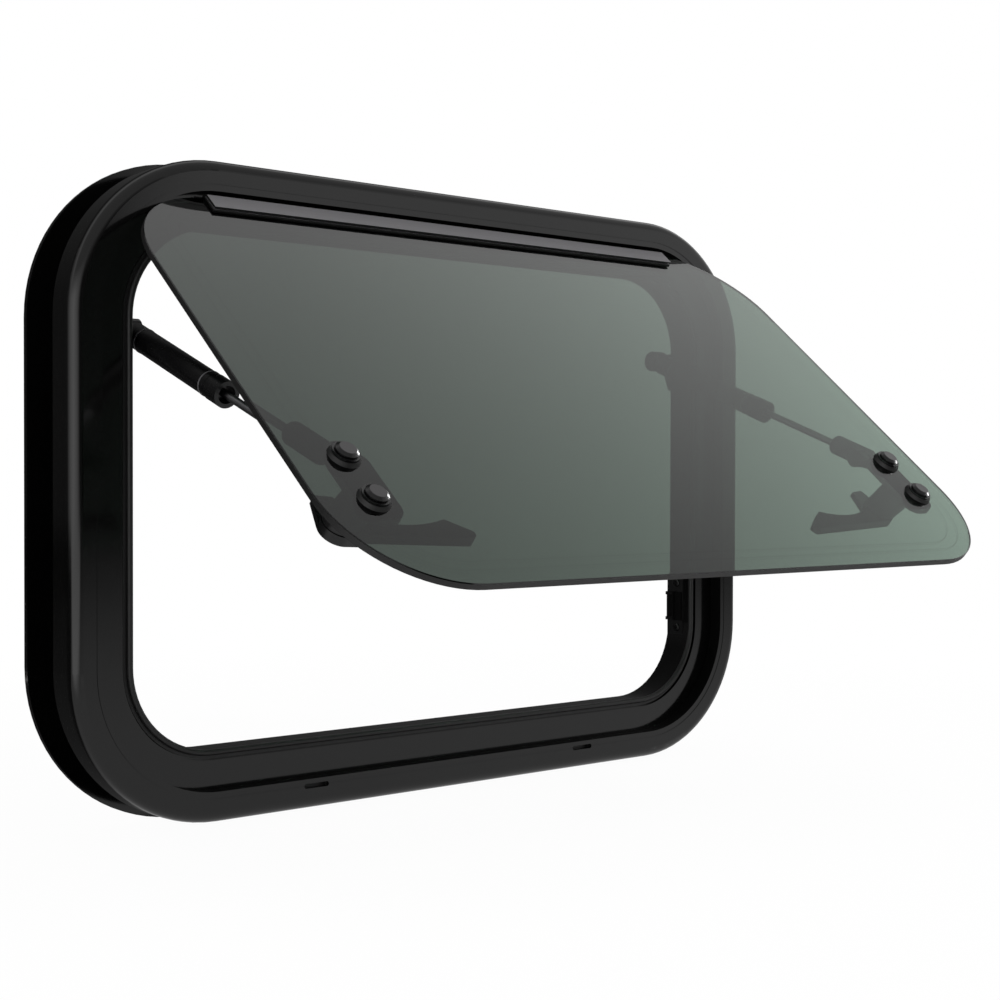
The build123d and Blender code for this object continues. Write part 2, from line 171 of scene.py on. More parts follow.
def grain(graph, scale, detail=3.0):
    """Soft noise from 0 to 1."""
    inputs = {"Vector": graph.place(), "Scale": scale, "Detail": detail}
    return graph.node("ShaderNodeTexNoise", {}, inputs, "Fac")


print("finish helpers ready")

# %% [markdown]
# The frame and the clamp ring are aluminium with a glossy black coat. A nearly black base with a tight
# gloss shows the room as broad pale reflections, and a little noise in the roughness keeps them soft. A
# separate coat layer would do the same with one more layer to balance, so the plain gloss is used.


# %% Black coat
def black_coat(graph):
    return {
        "Base Color": (0.0012, 0.0012, 0.0012, 1),
        "Roughness": 0.09 + 0.06 * grain(graph, 60.0),
        "IOR": 1.5,
    }


finishes = {"black_aluminium": make_finish(black_coat)}

# %% [markdown]
# The hinge strip and its rail are bare grey anodised aluminium. Fine drawing lines run along the
# extrusion, so the noise is stretched along X by a mapping node.


# %% Grey anodised aluminium
def grey_anodised(graph):
    stretched = graph.node("ShaderNodeMapping", {}, {"Vector": graph.place(), "Scale": (2.0, 900.0, 900.0)})
    lines = graph.node("ShaderNodeTexNoise", {}, {"Vector": stretched, "Scale": 1.0, "Detail": 2.0}, "Fac")
    return {
        "Base Color": (0.135, 0.132, 0.138, 1),
        "Metallic": 0.35,
        "Roughness": 0.38 + 0.12 * lines,
    }


finishes["grey_aluminium"] = make_finish(grey_anodised)

# %% [markdown]
# Two fine seams run round the pane inside its edge. They are too fine to be worth geometry, so they are
# drawn in the tint. Each is the line where a rounded rectangle, measured on the closed pane, has distance
# zero. The shader therefore first swings a point back by the opening angle, about the hinge.

# %% Seams of the pane
OPENING = math.radians(49.8)
HINGE_Y, HINGE_Z = -0.0104, 0.1938
PANE_MIDDLE_Z = -0.0044
PANE_HALF_WIDTH, PANE_HALF_HEIGHT = 0.2915, 0.1909
SEAM_WIDTH = 0.0008


def on_closed_pane(graph):
    """Place on the closed pane, from its middle, with the depth left out."""
    turn_y = HINGE_Y - (HINGE_Y * math.cos(OPENING) - HINGE_Z * math.sin(OPENING))
    turn_z = HINGE_Z - (HINGE_Y * math.sin(OPENING) + HINGE_Z * math.cos(OPENING))
    shift = (0, turn_y, turn_z - PANE_MIDDLE_Z)
    turning = {"Vector": graph.place(), "Location": shift, "Rotation": (OPENING, 0, 0)}
    return graph.vectors("MULTIPLY", graph.node("ShaderNodeMapping", {}, turning), (1, 0, 1))


def seam_line(graph, place, side_inset, end_inset, radius):
    """One on a seam that follows the edge of the pane, fading to zero beside it."""
    corner = (PANE_HALF_WIDTH - side_inset - radius, 0, PANE_HALF_HEIGHT - end_inset - radius)
    past = graph.vectors("SUBTRACT", graph.vectors("ABSOLUTE", place), corner)
    outside = graph.vectors("MAXIMUM", past, (0, 0, 0))
    reach = graph.vectors("LENGTH", outside, output="Value")
    off = graph.node("ShaderNodeMath", {"operation": "ABSOLUTE"}, {0: reach - radius})
    return graph.ease(off, (0.0, SEAM_WIDTH), (1.0, 0.0))


print("seams are", SEAM_WIDTH * 1000, "mm wide on each side")

# %% [markdown]
# The pane is dark privacy glass. A solid slab with full transmission and a grey-green tint shows what is
# behind it, and its sheen is the pale room mirrored in the glass itself. The picture shows the pane paler
# towards the right and the lower edge. That is light, not a grade in the glass, so it is painted light in
# the tint: the tint is multiplied by one number to the power of X and by another to the power of Z.

# %% Tinted glass
SEAMS = ((0.0195, 0.0115, 0.0525), (0.0275, 0.0185, 0.0485))
SEAM_SHADE = 0.3
PANE_TINT = {"Red": 0.058, "Green": 0.084, "Blue": 0.067}
PAINTED_LIGHT_GROWTH_RIGHT, PAINTED_LIGHT_GROWTH_UP = 20.0, 0.2


def tinted_glass(graph):
    place = on_closed_pane(graph)
    lines = [seam_line(graph, place, *seam) for seam in SEAMS]
    powers = ((PAINTED_LIGHT_GROWTH_RIGHT, "X"), (PAINTED_LIGHT_GROWTH_UP, "Z"))
    rightward, upward = (
        graph.node("ShaderNodeMath", {"operation": "POWER"}, {0: growth, 1: graph.part(place, axis)})
        for growth, axis in powers
    )
    # painted light: the tint is made paler to the right and towards the lower edge
    shade = rightward * upward * (1 - SEAM_SHADE * (lines[0] + lines[1]))
    tint = graph.node("ShaderNodeCombineColor", {}, {name: part * shade for name, part in PANE_TINT.items()})
    return {"Base Color": tint, "Roughness": 0.0, "IOR": 1.5, "Transmission Weight": 1.0}


finishes["tinted_glass"] = make_finish(tinted_glass)

# %% [markdown]
# Seals, washers and pads are black rubber: very dark, with a broad dull sheen. High roughness gives the
# sheen, and uneven roughness makes it look worn in.


# %% Rubber
def black_rubber(graph):
    return {"Base Color": (0.006, 0.006, 0.006, 1), "Roughness": 0.42 + 0.15 * grain(graph, 140.0)}


finishes["rubber"] = make_finish(black_rubber)

# %% [markdown]
# Levers and strikers are moulded black plastic. The mould leaves a texture far too fine to model, so a
# small bump stands for it.


# %% Moulded plastic
def moulded_plastic(graph):
    pebbles = grain(graph, 900.0, 1.0)
    bumped = graph.node("ShaderNodeBump", {}, {"Height": pebbles, "Strength": 0.12, "Distance": 0.0002})
    return {
        "Base Color": (0.003, 0.003, 0.0032, 1),
        "Roughness": 0.3 + 0.1 * grain(graph, 80.0),
        "Normal": bumped,
    }


finishes["black_plastic"] = make_finish(moulded_plastic)

# %% [markdown]
# Pins, screws and the collars under the bolt caps are metal painted black. Paint hides the metal, so this
# is a dark base with a gloss and no metallic share. The caps themselves are black chrome: a metal with a
# dark base and a tight gloss, so that the flat top mirrors the pale ceiling. The stay rods are drawn steel,
# a brighter metal.


# %% Painted, plated and bare metal
def painted_metal(graph):
    return {"Base Color": (0.003, 0.003, 0.0032, 1), "Roughness": 0.22 + 0.08 * grain(graph, 200.0)}


def black_chrome(graph):
    return {
        "Base Color": (0.1, 0.098, 0.1, 1),
        "Metallic": 1.0,
        "Roughness": 0.16 + 0.08 * grain(graph, 200.0),
    }


def drawn_steel(graph):
    return {
        "Base Color": (0.42, 0.42, 0.43, 1),
        "Metallic": 1.0,
        "Roughness": 0.24 + 0.12 * grain(graph, 300.0),
    }


finishes["black_metal"] = make_finish(painted_metal)
finishes["cap_metal"] = make_finish(black_chrome)
finishes["rod_steel"] = make_finish(drawn_steel)

# %% [markdown]
# Each node of the frame names a material slot in its record. The table of finishes is kept by slot, and a
# loop gives every node its own. The barrels of the stays are painted tubes, and shine like the pins.

# %% Give the finishes out
SIDES = {"left": -1, "right": 1}
slot_of = {row["node"]: row["material_slot"] for row in frame["record"]["subparts"]}
for node_name, node in nodes.items():
    node.data.materials.clear()
    node.data.materials.append(finishes[slot_of[node_name]])
for side in SIDES:
    for piece in ("barrel", "gland"):
        nodes[f"{side}_stay_{piece}"].data.materials[0] = finishes["black_metal"]
print("finished", len(nodes), "nodes")

# %% [markdown]
# Some solids carry two finishes. They could be cut into two pieces, but the mesh of a node stays as it is,
# so a helper gives one more finish to the faces that a test picks. Each bolt has a painted collar and neck
# below its plated cap. The bevel of the cap gets the same dark paint as painted shade, so that it shows
# darker than its flat top. The faces are sorted by their height over the pane and by how far they lean.

# %% Two finishes on one bolt
COLLAR_SHARE = 0.45
FLAT_LEAN = 0.95
PANE_OUTWARD = (0, -math.cos(OPENING), math.sin(OPENING))


def along(vector, direction):
    """How far a vector goes along a direction."""
    return sum(a * b for a, b in zip(vector, direction))


def over_pane(face):
    """Height of a face, measured square to the pane."""
    return along(face.center, PANE_OUTWARD)


def paint_faces(node, finish, picks):
    """Gives a second finish to the faces of a node that a test picks."""
    node.data.materials.append(finish)
    place = len(node.data.materials) - 1
    picked = [face for face in node.data.polygons if picks(face)]
    for face in picked:
        face.material_index = place
    return len(picked)


bolts = [node for node_name, node in nodes.items() if node_name.endswith("_bolt")]
for bolt in bolts:
    heights = [over_pane(face) for face in bolt.data.polygons]
    limit = min(heights) + COLLAR_SHARE * (max(heights) - min(heights))
    paint_faces(bolt, finishes["black_metal"], lambda face: over_pane(face) < limit)
    # painted shade: the bevel of the cap gets the darker painted metal
    paint_faces(
        bolt,
        finishes["black_metal"],
        lambda face: over_pane(face) > limit and along(face.normal, PANE_OUTWARD) < FLAT_LEAN,
    )
print("two finishes on", len(bolts), "bolts")

# %% [markdown]
# A black rubber lip closes the hinge strip against the pane along its lower edge and at its two ends. The
# rim of the pane is ground and blackened, and looks much the same. Both are known by where their faces
# look.

# %% Lip of the hinge strip and rim of the pane
PANE_DOWN = (0, -math.sin(OPENING), -math.cos(OPENING))
LIP_LEAN = 0.9
RIM_LEAN = 0.5


def on_lip(face):
    """True on the lower edge and the two ends of the hinge strip."""
    return along(face.normal, PANE_DOWN) > LIP_LEAN or abs(face.normal.x) > LIP_LEAN


def on_rim(face):
    """True on the narrow faces round the pane."""
    return abs(along(face.normal, PANE_OUTWARD)) < RIM_LEAN


lip = paint_faces(nodes["hinge_profile"], finishes["rubber"], on_lip)
rim = paint_faces(nodes["glass_pane"], finishes["rubber"], on_rim)
print("lip has", lip, "faces and rim has", rim)

# %% [markdown]
# The latch block of each striker stands on a plate that shines like the jamb, and hardly shines itself.
# The side of the bead that falls to the recess lies in shade, and that shade is painted in as dull black.
# One dull black serves both: the same shader with most of its mirror taken away. The bead's side is found
# by its inset from the outline of the frame, which is a rounded rectangle.

# %% Striker blocks and the side of the bead
BLOCK_OFF_JAMB = 0.0013
FRAME_CORNER = 0.109
BEAD_SIDE_NEAR, BEAD_SIDE_FAR = 0.0176, 0.0222
RECESS_Y = -0.0159
FRONT_LEAN = -0.94
frame_low, frame_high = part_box("outer_frame")


def dull_black(graph):
    shade = 0.0012 + 0.001 * grain(graph, 150.0)
    return {"Base Color": shade, "Roughness": 0.5, "Specular IOR Level": 0.12}


def inset(place):
    """Distance from the outline of the frame, measured in its plane."""
    past_x = max(abs(place.x) - frame_high.x + FRAME_CORNER, 0)
    past_z = max(abs(place.z) - frame_high.z + FRAME_CORNER, 0)
    return FRAME_CORNER - math.hypot(past_x, past_z)


def on_bead_side(face):
    """True where the bead falls from its front to the recess."""
    in_band = BEAD_SIDE_NEAR < inset(face.center) < BEAD_SIDE_FAR
    return in_band and face.center.y < RECESS_Y and face.normal.y > FRONT_LEAN


def jamb_of(side):
    """How far the jamb lies from the middle, read from its striker."""
    low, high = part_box(f"{side}_striker")
    return max(abs(low.x), abs(high.x))


dull = make_finish(dull_black)
for side in SIDES:
    limit = jamb_of(side) - BLOCK_OFF_JAMB
    block = paint_faces(nodes[f"{side}_striker"], dull, lambda face: abs(face.center.x) < limit)
    print(side, "striker block has", block, "faces")
# painted shade: the side of the bead in the recess gets the dull black
bead_side = paint_faces(nodes["outer_frame"], dull, on_bead_side)
print("side of the bead has", bead_side, "faces")

# %% [markdown]
# Indoors the clamp ring is painted a softer satin black than the coat outside. Its rear faces look inward,
# along Y, and get this paint as their second finish.

# %% Inner side of the clamp ring
REAR_LEAN = 0.3


def satin_paint(graph):
    return {"Base Color": (0.022, 0.022, 0.0225, 1), "Roughness": 0.36 + 0.1 * grain(graph, 120.0)}


rear = paint_faces(nodes["clamp_ring"], make_finish(satin_paint), lambda face: face.normal.y > REAR_LEAN)
print("inner side of the clamp ring has", rear, "faces")

# %% [markdown]
# Modelling by hand means picking something and using an operator on it. These helpers do the picking: one
# makes an object the whole selection, one selects the edges or faces that a test picks, and one adds a
# modifier and applies it.

# %% Modelling helpers
SMOOTH_ANGLE = math.radians(35)


def pick_only(obj):
    """Makes one object the whole selection."""
    bpy.ops.object.select_all(action="DESELECT")
    obj.select_set(True)
    bpy.context.view_layer.objects.active = obj


def pick_parts(obj, kind, picks):
    """Selects the edges or faces of an object that a test picks, and leaves it in edit mode."""
    parts = {"EDGE": "edges", "FACE": "polygons"}[kind]
    picked = [part.index for part in getattr(obj.data, parts) if picks(part)]
    bpy.ops.object.mode_set(mode="EDIT")
    bpy.ops.mesh.select_mode(type=kind)
    bpy.ops.mesh.select_all(action="DESELECT")
    bpy.ops.object.mode_set(mode="OBJECT")
    for index in picked:
        getattr(obj.data, parts)[index].select = True
    bpy.ops.object.mode_set(mode="EDIT")


def apply_modifier(obj, kind, **settings):
    """Adds one modifier to an object and applies it."""
    pick_only(obj)
    modifier = obj.modifiers.new(kind.lower(), kind)
    for key, value in settings.items():
        setattr(modifier, key, value)
    bpy.ops.object.modifier_apply(modifier=modifier.name)


print("modelling helpers ready")

# %% [markdown]
# One small pan-head screw is modelled by hand: a cylinder whose top edge is rounded over by a bevel, with a
# cross cut into it by a boolean. A boolean is the simplest way to a sharp slot in a round head. The screw is
# then copied to every place where one is needed.

# %% Model the screw
SCREW_SIDES = 28
SCREW_RADIUS = 0.0035
SCREW_HEIGHT = 0.0015
SCREW_ROUNDING = SCREW_HEIGHT * 0.55
SCREW_TOP = SCREW_HEIGHT * 0.9
CROSS_WIDTH = 0.0009
CROSS_LENGTH = 0.0038
CROSS_DEPTH = 0.001


def cut_slot(head, turn):
    """Cuts one slot of the cross into the head of the screw."""
    bpy.ops.object.select_all(action="DESELECT")
    bpy.ops.mesh.primitive_cube_add(size=1, location=(0, 0, SCREW_HEIGHT), rotation=(0, 0, turn))
    blade = bpy.context.object
    blade.scale = (CROSS_LENGTH, CROSS_WIDTH, CROSS_DEPTH * 2)
    bpy.ops.object.transform_apply(location=True, rotation=True, scale=True)
    apply_modifier(head, "BOOLEAN", operation="DIFFERENCE", object=blade, solver="EXACT")
    bpy.data.objects.remove(blade)


def model_screw():
    bpy.ops.object.select_all(action="DESELECT")
    middle = (0, 0, SCREW_HEIGHT / 2)
    bpy.ops.mesh.primitive_cylinder_add(
        vertices=SCREW_SIDES, radius=SCREW_RADIUS, depth=SCREW_HEIGHT, location=middle
    )
    head = bpy.context.object
    head.name = "screw"
    bpy.ops.object.transform_apply(location=True)
    corners = head.data.vertices
    pick_parts(head, "EDGE", lambda edge: all(corners[index].co.z > SCREW_TOP for index in edge.vertices))
    bpy.ops.mesh.bevel(offset=SCREW_ROUNDING, segments=4)
    bpy.ops.object.mode_set(mode="OBJECT")
    for turn in (0, math.pi / 2):
        cut_slot(head, turn)
    pick_only(head)
    bpy.ops.object.shade_smooth_by_angle(angle=SMOOTH_ANGLE)
    head.data.materials.append(finishes["black_metal"])
    return head


screw_master = model_screw()
print("screw has", len(screw_master.data.polygons), "faces")

# %% [markdown]
# Screws hold the strikers and the stay brackets to the jambs. Their places are taken from the boxes of the
# pieces that they hold, so that they stay right if those pieces change. Each copy gets its own mesh, with
# its place and turn applied to it.

# %% Screws on the jambs
STRIKER_PLATE = 0.001
STRIKER_SCREW_REACH = 0.0195
BRACKET_PLATE = 0.003
BRACKET_SCREW_FRONT = 0.005
BRACKET_SCREW_BELOW_TOP, BRACKET_SCREW_OVER_FOOT = 0.005, 0.006
RANKS = ("upper", "lower")


def place_screw(name, place, turn):
    """Copies the screw to a place on the frame; turn is its rotation about X and Y."""
    pick_only(screw_master)
    bpy.ops.object.duplicate()
    screw = bpy.context.object
    screw.name = name
    screw.rotation_euler = (turn[0], turn[1], 0)
    screw.location = place
    bpy.ops.object.transform_apply(location=True, rotation=True)
    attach(screw, "frame")
    return screw


jamb_screws = []
for side, sign in SIDES.items():
    turn = (0, -sign * math.pi / 2)
    jamb = jamb_of(side)
    low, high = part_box(f"{side}_striker")
    middle = (low.z + high.z) / 2
    for rank, reach in zip(RANKS, (STRIKER_SCREW_REACH, -STRIKER_SCREW_REACH)):
        spot = (sign * (jamb - STRIKER_PLATE), 0, middle + reach)
        jamb_screws.append(place_screw(f"{side}_striker_{rank}_screw", spot, turn))
    low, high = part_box(f"{side}_stay_bracket")
    for rank, height in zip(RANKS, (high.z - BRACKET_SCREW_BELOW_TOP, low.z + BRACKET_SCREW_OVER_FOOT)):
        spot = (sign * (jamb - BRACKET_PLATE), low.y + BRACKET_SCREW_FRONT, height)
        jamb_screws.append(place_screw(f"{side}_bracket_{rank}_screw", spot, turn))
print("placed", len(jamb_screws), "screws on the jambs")

# %% [markdown]
# More screws pull the clamp ring to the frame from indoors: three along each long side, two along each
# short side and one in each corner. The corner screws lie on the diagonal of the corner's own circle.

# %% Screws on the clamp ring
RING_SCREW_INSET = 0.014
RING_RIM = 0.002
RING_SCREW_ACROSS = (-0.16, 0, 0.16)
RING_SCREW_UP = (-0.07, 0.07)
CORNER_CENTRE_X, CORNER_CENTRE_Z = 0.209, 0.116
INWARD_TURN = (-math.pi / 2, 0)

low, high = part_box("clamp_ring")
side_x = high.x - RING_SCREW_INSET
side_z = high.z - RING_SCREW_INSET
corner_reach = (side_x - CORNER_CENTRE_X) * math.sqrt(0.5)
corner_x = CORNER_CENTRE_X + corner_reach
corner_z = CORNER_CENTRE_Z + corner_reach
ring_spots = [(x, z) for x in RING_SCREW_ACROSS for z in (-side_z, side_z)]
ring_spots += [(x, z) for x in (-side_x, side_x) for z in RING_SCREW_UP]
ring_spots += [(x, z) for x in (-corner_x, corner_x) for z in (-corner_z, corner_z)]
ring_screws = []
for count, (x, z) in enumerate(ring_spots):
    ring_screws.append(place_screw(f"ring_screw_{count}", (x, high.y - RING_RIM, z), INWARD_TURN))
bpy.data.objects.remove(screw_master)
print("placed", len(ring_screws), "screws on the clamp ring")

# %% [markdown]
# Behind each drain slot in the lower bead sits a small rubber baffle that keeps the wind out, and a rubber
# plug closes each end of the hinge rail behind the frame. They are made alike: a cube is shaped to a flat
# bar and hollowed from the front by an inset and a push, so that it looks deep.

# %% Drain baffles and hinge plugs
DRAIN_SPACING = 0.26
DRAIN_FROM_EDGE = 0.0166
BEAD_BACK = -0.025
BAFFLE_SIZE = (0.026, 0.004, 0.0075)
PLUG_SIZE = (0.0053, 0.0097, 0.015)
PLUG_GAP = 0.0002
PLUG_BEHIND = 0.001
BLOCK_WALL = 0.0016
BLOCK_HOLLOW = 0.003
BLOCK_EDGE = 0.0004


def model_block(name, middle, size):
    """A rubber bar with its front hollowed out."""
    bpy.ops.object.select_all(action="DESELECT")
    bpy.ops.mesh.primitive_cube_add(size=1, location=middle)
    block = bpy.context.object
    block.name = name
    block.scale = size
    bpy.ops.object.transform_apply(location=True, rotation=True, scale=True)
    front = min(block.data.polygons, key=lambda face: face.center.y).index
    pick_parts(block, "FACE", lambda face: face.index == front)
    bpy.ops.mesh.inset(thickness=BLOCK_WALL)
    bpy.ops.mesh.extrude_region_move(TRANSFORM_OT_translate={"value": (0, BLOCK_HOLLOW, 0)})
    bpy.ops.mesh.select_all(action="SELECT")
    bpy.ops.mesh.normals_make_consistent(inside=False)
    bpy.ops.object.mode_set(mode="OBJECT")
    apply_modifier(block, "BEVEL", width=BLOCK_EDGE, segments=2)
    block.data.materials.append(finishes["rubber"])
    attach(block, "frame")


rail_low, rail_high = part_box("hinge_rail")
plug_x = rail_high.x + PLUG_GAP + PLUG_SIZE[0] / 2
plug_y = rail_high.y - PLUG_BEHIND - PLUG_SIZE[1] / 2
plug_z = (rail_low.z + rail_high.z) / 2
for side, sign in SIDES.items():
    drain = (sign * DRAIN_SPACING / 2, BEAD_BACK + BAFFLE_SIZE[1] / 2, frame_low.z + DRAIN_FROM_EDGE)
    model_block(f"{side}_drain_baffle", drain, BAFFLE_SIZE)
    model_block(f"{side}_hinge_plug", (sign * plug_x, plug_y, plug_z), PLUG_SIZE)
print("placed two drain baffles and two hinge plugs")

# %% [markdown]
# The barrel of each stay is a tube with two thin rings, where the end fittings are rolled in. The rings
# are real crimps, and their grey is painted highlight for the light caught on the rolled edges. The
# rod slides along the barrel, so the axis of that joint is also the axis of the rings. Each ring starts
# as an open cylinder on it, gets its wall by a solidify modifier and its soft edges by a bevel.

# %% Rings on the stay barrels
RING_SIDES = 48
RING_WIDTH = 0.0011
RING_PROUD = 0.0003
RING_WALL = 0.0007
RING_EDGE = 0.00015
RING_FROM_ROD_END = 0.0056
RING_FROM_EYE_END = 0.006


def model_ring(name, middle, axis, radius, body):
    """A thin band round a barrel."""
    bpy.ops.object.select_all(action="DESELECT")
    bpy.ops.mesh.primitive_cylinder_add(
        vertices=RING_SIDES,
        radius=radius + RING_PROUD,
        depth=RING_WIDTH,
        end_fill_type="NOTHING",
        location=middle,
        rotation=axis.to_track_quat("Z", "Y").to_euler(),
    )
    ring = bpy.context.object
    ring.name = name
    bpy.ops.object.transform_apply(location=True, rotation=True)
    apply_modifier(ring, "SOLIDIFY", thickness=RING_WALL, offset=-1)
    apply_modifier(ring, "BEVEL", width=RING_EDGE, segments=2)
    bpy.ops.object.shade_smooth_by_angle(angle=SMOOTH_ANGLE)
    # painted highlight: grey on the rings stands for the light on the rolled edges
    ring.data.materials.append(finishes["grey_aluminium"])
    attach(ring, body)


slide_axes = {joint["name"]: joint["axis"] for joint in frame["joints"] if joint["type"] == "slide"}
for side in SIDES:
    barrel = f"{side}_stay_barrel"
    low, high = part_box(barrel)
    middle = (low + high) / 2
    axis = Vector(slide_axes[f"{side}_stay_slide"]).normalized()
    corners = [corner.co - middle for corner in nodes[barrel].data.vertices]
    half_length = max(corner.dot(axis) for corner in corners)
    radius = max((corner - corner.dot(axis) * axis).length for corner in corners)
    rod_end = middle + (half_length - RING_FROM_ROD_END) * axis
    eye_end = middle - (half_length - RING_FROM_EYE_END) * axis
    model_ring(f"{side}_barrel_front_ring", rod_end, axis, radius, barrel)
    model_ring(f"{side}_barrel_rear_ring", eye_end, axis, radius, barrel)
    print(side, "barrel has radius", round(radius, 5), "and half length", round(half_length, 5))

# %% [markdown]
# The studio is plain. Its floor is white to the eye and through the glass, and keeps a faint shadow. A
# white floor in gloss black would look like a lamp, so mirrored rays see a dimmer, painted floor: its glow
# fades with distance, a painted shadow lies behind the window, and painted light glows at the foot of the
# softbox on the left.

# %% Floor
FLOOR_SIZE = 12
FLOOR_DROP = 0.0005
SHADOW_SPAN, SHADOW_CLEAN = (0.3, 1.1), (0.97, 1.0)
GLOW_SPAN, GLOW = (0.5, 3.0), (0.62, 0.14)
BEHIND_SPAN, PAINTED_SHADOW_BEHIND = (0.0, 0.04), (1.0, 0.08)
PAINTED_FOOT_LIGHT, FOOT_SHARE = 1.1, (1.0, 0.0)
FOOT_ACROSS, FOOT_FORWARD = (-0.9, -0.5), (-0.35, -0.1)


def ray_kinds(graph):
    """One for rays that see things plainly, and one for rays that a gloss has mirrored."""
    kinds = ("Is Camera Ray", "Is Transmission Ray", "Is Glossy Ray")
    seen, through, glossy = (graph.node("ShaderNodeLightPath", {}, {}, kind) for kind in kinds)
    return seen + through, glossy


def white_floor():
    material, graph = start_finish("white_floor")
    plain, glossy = ray_kinds(graph)
    spot = graph.place()
    across = graph.part(spot, "X")
    back = graph.part(spot, "Y")
    reach = graph.vectors("LENGTH", spot, output="Value")
    clean = graph.ease(reach, SHADOW_SPAN, SHADOW_CLEAN)
    # painted shadow: the mirrored floor is dark behind the window
    fading = graph.ease(reach, GLOW_SPAN, GLOW) * graph.ease(back, BEHIND_SPAN, PAINTED_SHADOW_BEHIND)
    # painted light: a glow on the mirrored floor at the foot of the softbox on the left
    foot = graph.ease(across, FOOT_ACROSS, FOOT_SHARE) * graph.ease(back, FOOT_FORWARD, FOOT_SHARE)
    glow = fading + PAINTED_FOOT_LIGHT * foot
    matte = graph.node("ShaderNodeBsdfDiffuse", {}, {"Color": (0.8, 0.8, 0.8, 1)})
    white = graph.node("ShaderNodeEmission", {}, {"Color": (1, 1, 1, 1), "Strength": 1.0})
    dimmed = graph.node("ShaderNodeEmission", {}, {"Color": glow, "Strength": 1.0})
    shown = graph.node("ShaderNodeMixShader", {}, {0: plain * clean, 1: matte, 2: white})
    mirrored = graph.node("ShaderNodeMixShader", {}, {0: glossy * (1 - plain), 1: shown, 2: dimmed})
    close_finish(graph, mirrored)
    return material


bpy.ops.object.select_all(action="DESELECT")
bpy.ops.mesh.primitive_plane_add(size=FLOOR_SIZE, location=(0, 0, cad_box[0].z - FLOOR_DROP))
floor = bpy.context.object
floor.name = "floor"
bpy.ops.object.transform_apply(location=True)
floor.data.materials.append(white_floor())
print("floor lies at", round(cad_box[0].z - FLOOR_DROP, 4))

# %% [markdown]
# Gloss black shows what stands round it. Softboxes could be modelled as panels, but a ring of brightness by
# compass angle is quicker to tune: a strong box on the left, a gap of dark wall in front, and a wide box on
# the right. The angle comes from a radial gradient, and the ramp's stops are places on the ring.

# %% Softboxes round the window
ROOM_PEAK = 1.8
ROOM_RING = (
    (0.0, 0.72),
    (0.075, 0.95),
    (0.158, 0.62),
    (0.195, 0.32),
    (0.225, 0.03),
    (0.326, 0.03),
    (0.331, 0.47),
    (0.52, 0.5),
    (0.56, 0.3),
    (0.6, 0.032),
    (0.75, 0.025),
    (0.83, 0.02),
    (0.885, 0.05),
    (0.93, 0.3),
    (1.0, 0.72),
)


def softbox_ring(sky, aim):
    """Brightness of the walls that a mirrored ray meets, by its compass angle."""
    compass = sky.node("ShaderNodeTexGradient", {"gradient_type": "RADIAL"}, {"Vector": aim}, "Fac")
    stops = [(place, (shade, shade, shade, 1)) for place, shade in ROOM_RING]
    return ROOM_PEAK * sky.node("ShaderNodeValToRGB", {"stops": stops}, {"Fac": compass})


print("ring of softboxes has", len(ROOM_RING), "stops")

# %% [markdown]
# Overhead the room is a pale grey, brightest over the window, darker towards the back wall and a little
# brighter to the right. The pane mirrors this ceiling, so its slope is what grades the sheen of the glass.

# %% Ceiling
CEILING_SPAN = (0.22, 0.45)
SLOPE_SPAN, SLOPE = (0.05, 0.28), (0.54, 1.04)
ENDING_SPAN, ENDING = (0.3, 0.6), (1.0, 0.06)
RIGHT_SPAN, RIGHT_SHARE = (0.55, 0.75), (0.85, 1.05)


def mirrored_room(sky, aim):
    """Brightness of the whole room as a gloss mirrors it."""
    depth = sky.part(aim, "Y")
    overhead = sky.ease(sky.part(aim, "Z"), CEILING_SPAN, (0.0, 1.0))
    rightward = sky.ease(sky.part(aim, "X"), RIGHT_SPAN, RIGHT_SHARE)
    ceiling = sky.ease(depth, SLOPE_SPAN, SLOPE) * sky.ease(depth, ENDING_SPAN, ENDING) * rightward
    return softbox_ring(sky, aim) * (1 - overhead) + ceiling * overhead


print("ceiling starts at a slope of", CEILING_SPAN[0])

# %% [markdown]
# The world joins these. Plain rays see white, mirrored rays see the room above, and all others get a soft
# even light that fills the shadows.

# %% World
AMBIENT = 0.35
world = bpy.data.worlds.new("studio")
bpy.context.scene.world = world
world.use_nodes = True
sky = Graph(world.node_tree)
plain, glossy = ray_kinds(sky)
aim = sky.node("ShaderNodeTexCoord", {}, {}, "Generated")
strength = plain + (1 - plain) * (glossy * mirrored_room(sky, aim) + (1 - glossy) * AMBIENT)
room = sky.node("ShaderNodeBackground", {}, {"Color": (1, 1, 1, 1), "Strength": strength})
sky.node("ShaderNodeOutputWorld", {}, {"Surface": room})
print("world has", len(world.node_tree.nodes), "nodes")

# %% [markdown]
# Three soft lamps light the dull pieces and are kept out of the mirrored room. Two small ones are each
# linked to the bolts of one side alone: they make the white spark on the bevel of each cap. A low panel
# behind the window is linked to the clamp ring and its screws, so that they don't look flat from inside.

# %% Lamps
SOFT_LAMPS = (
    ("key_lamp", (1.1, -1.4, 1.3), (0.1, -0.1, 0), (0.5, 0.5), 16),
    ("left_softbox", (-1.9, -0.9, 0.6), (-0.2, 0, 0), (0.8, 1.6), 14),
    ("top_softbox", (0.2, -0.5, 1.8), (0, -0.1, 0), (1.6, 1.4), 16),
)
SPARK_PLACES = {"right": (1.25, -0.6, 0.06), "left": (0.85, 0.06, 0.4)}
SPARK_TARGET, SPARK_SIZE, SPARK_WATTS = (0, -0.26, 0.03), (0.3, 0.5), 9
PANEL_PLACE, PANEL_TARGET, PANEL_SIZE, PANEL_WATTS = (0, 1.3, -0.2), (0, 1.3, 1), (1.0, 1.8), 5


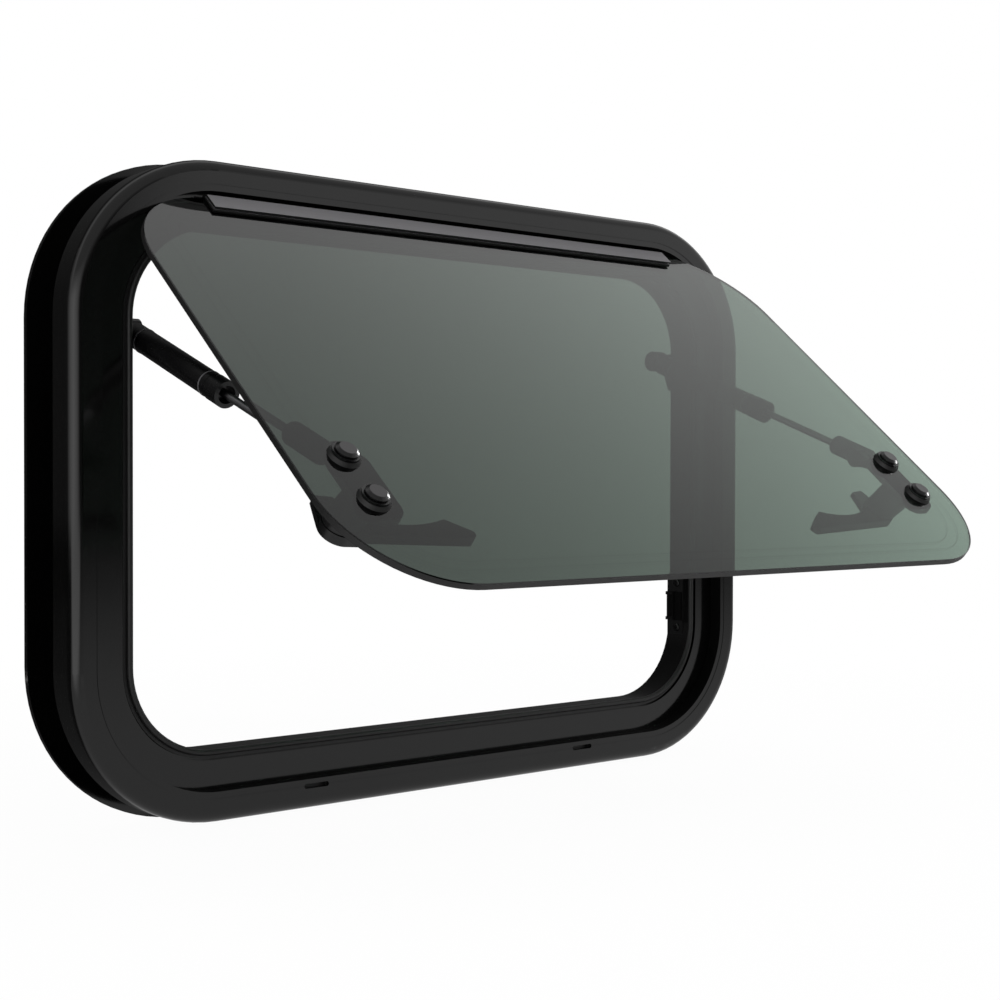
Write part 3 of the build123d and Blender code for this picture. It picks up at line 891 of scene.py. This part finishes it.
def soft_lamp(name, place, target, size, watts, mirrored):
    """A square area lamp at a place, turned to face a target."""
    bpy.ops.object.select_all(action="DESELECT")
    bpy.ops.object.light_add(type="AREA", location=place)
    lamp = bpy.context.object
    lamp.name = name
    lamp.data.shape = "RECTANGLE"
    lamp.data.size, lamp.data.size_y = size
    lamp.data.energy = watts
    lamp.visible_glossy = mirrored
    aim = [goal - start for goal, start in zip(target, place)]
    flat = math.hypot(aim[0], aim[1])
    lamp.rotation_euler = (math.atan2(flat, -aim[2]), 0, math.atan2(-aim[0], aim[1]))
    return lamp


def light_only(lamp, pieces):
    """Links a lamp to a few pieces, so that it lights nothing else."""
    lit = bpy.data.collections.new(f"lit_by_{lamp.name}")
    for piece in pieces:
        lit.objects.link(piece)
    lamp.light_linking.receiver_collection = lit


for lamp_row in SOFT_LAMPS:
    soft_lamp(*lamp_row, mirrored=False)
for side, place in SPARK_PLACES.items():
    spark = soft_lamp(f"{side}_spark", place, SPARK_TARGET, SPARK_SIZE, SPARK_WATTS, mirrored=True)
    light_only(spark, [nodes[f"{side}_{rank}_bolt"] for rank in RANKS])
back_panel = soft_lamp("back_panel", PANEL_PLACE, PANEL_TARGET, PANEL_SIZE, PANEL_WATTS, mirrored=True)
back_panel.visible_camera = False
back_panel.visible_transmission = False
light_only(back_panel, [nodes["clamp_ring"]] + ring_screws)
print("placed", len(bpy.data.lights), "lamps")

# %% [markdown]
# The camera stands where the picture was taken, to the left of the window and level with its middle. Its
# place, turn and lens were fitted to the corners and bars of the frame. The Standard view shows colours as
# they are written.

# %% Camera
CAMERA_PLACE = (-0.8089, -1.0128, 0.01107)
CAMERA_YAW = 0.7117
CAMERA_PITCH = -0.014
CAMERA_ROLL = -0.002
CAMERA_LENS = 60.42
CAMERA_SENSOR = 36
bpy.ops.object.select_all(action="DESELECT")
bpy.ops.object.camera_add(location=CAMERA_PLACE)
camera = bpy.context.object
camera.rotation_euler = (math.pi / 2 + CAMERA_PITCH, CAMERA_ROLL, -CAMERA_YAW)
camera.data.sensor_width = CAMERA_SENSOR
camera.data.lens = CAMERA_LENS
bpy.context.scene.camera = camera
bpy.context.scene.view_settings.view_transform = "Standard"
print("camera has a lens of", CAMERA_LENS, "mm")
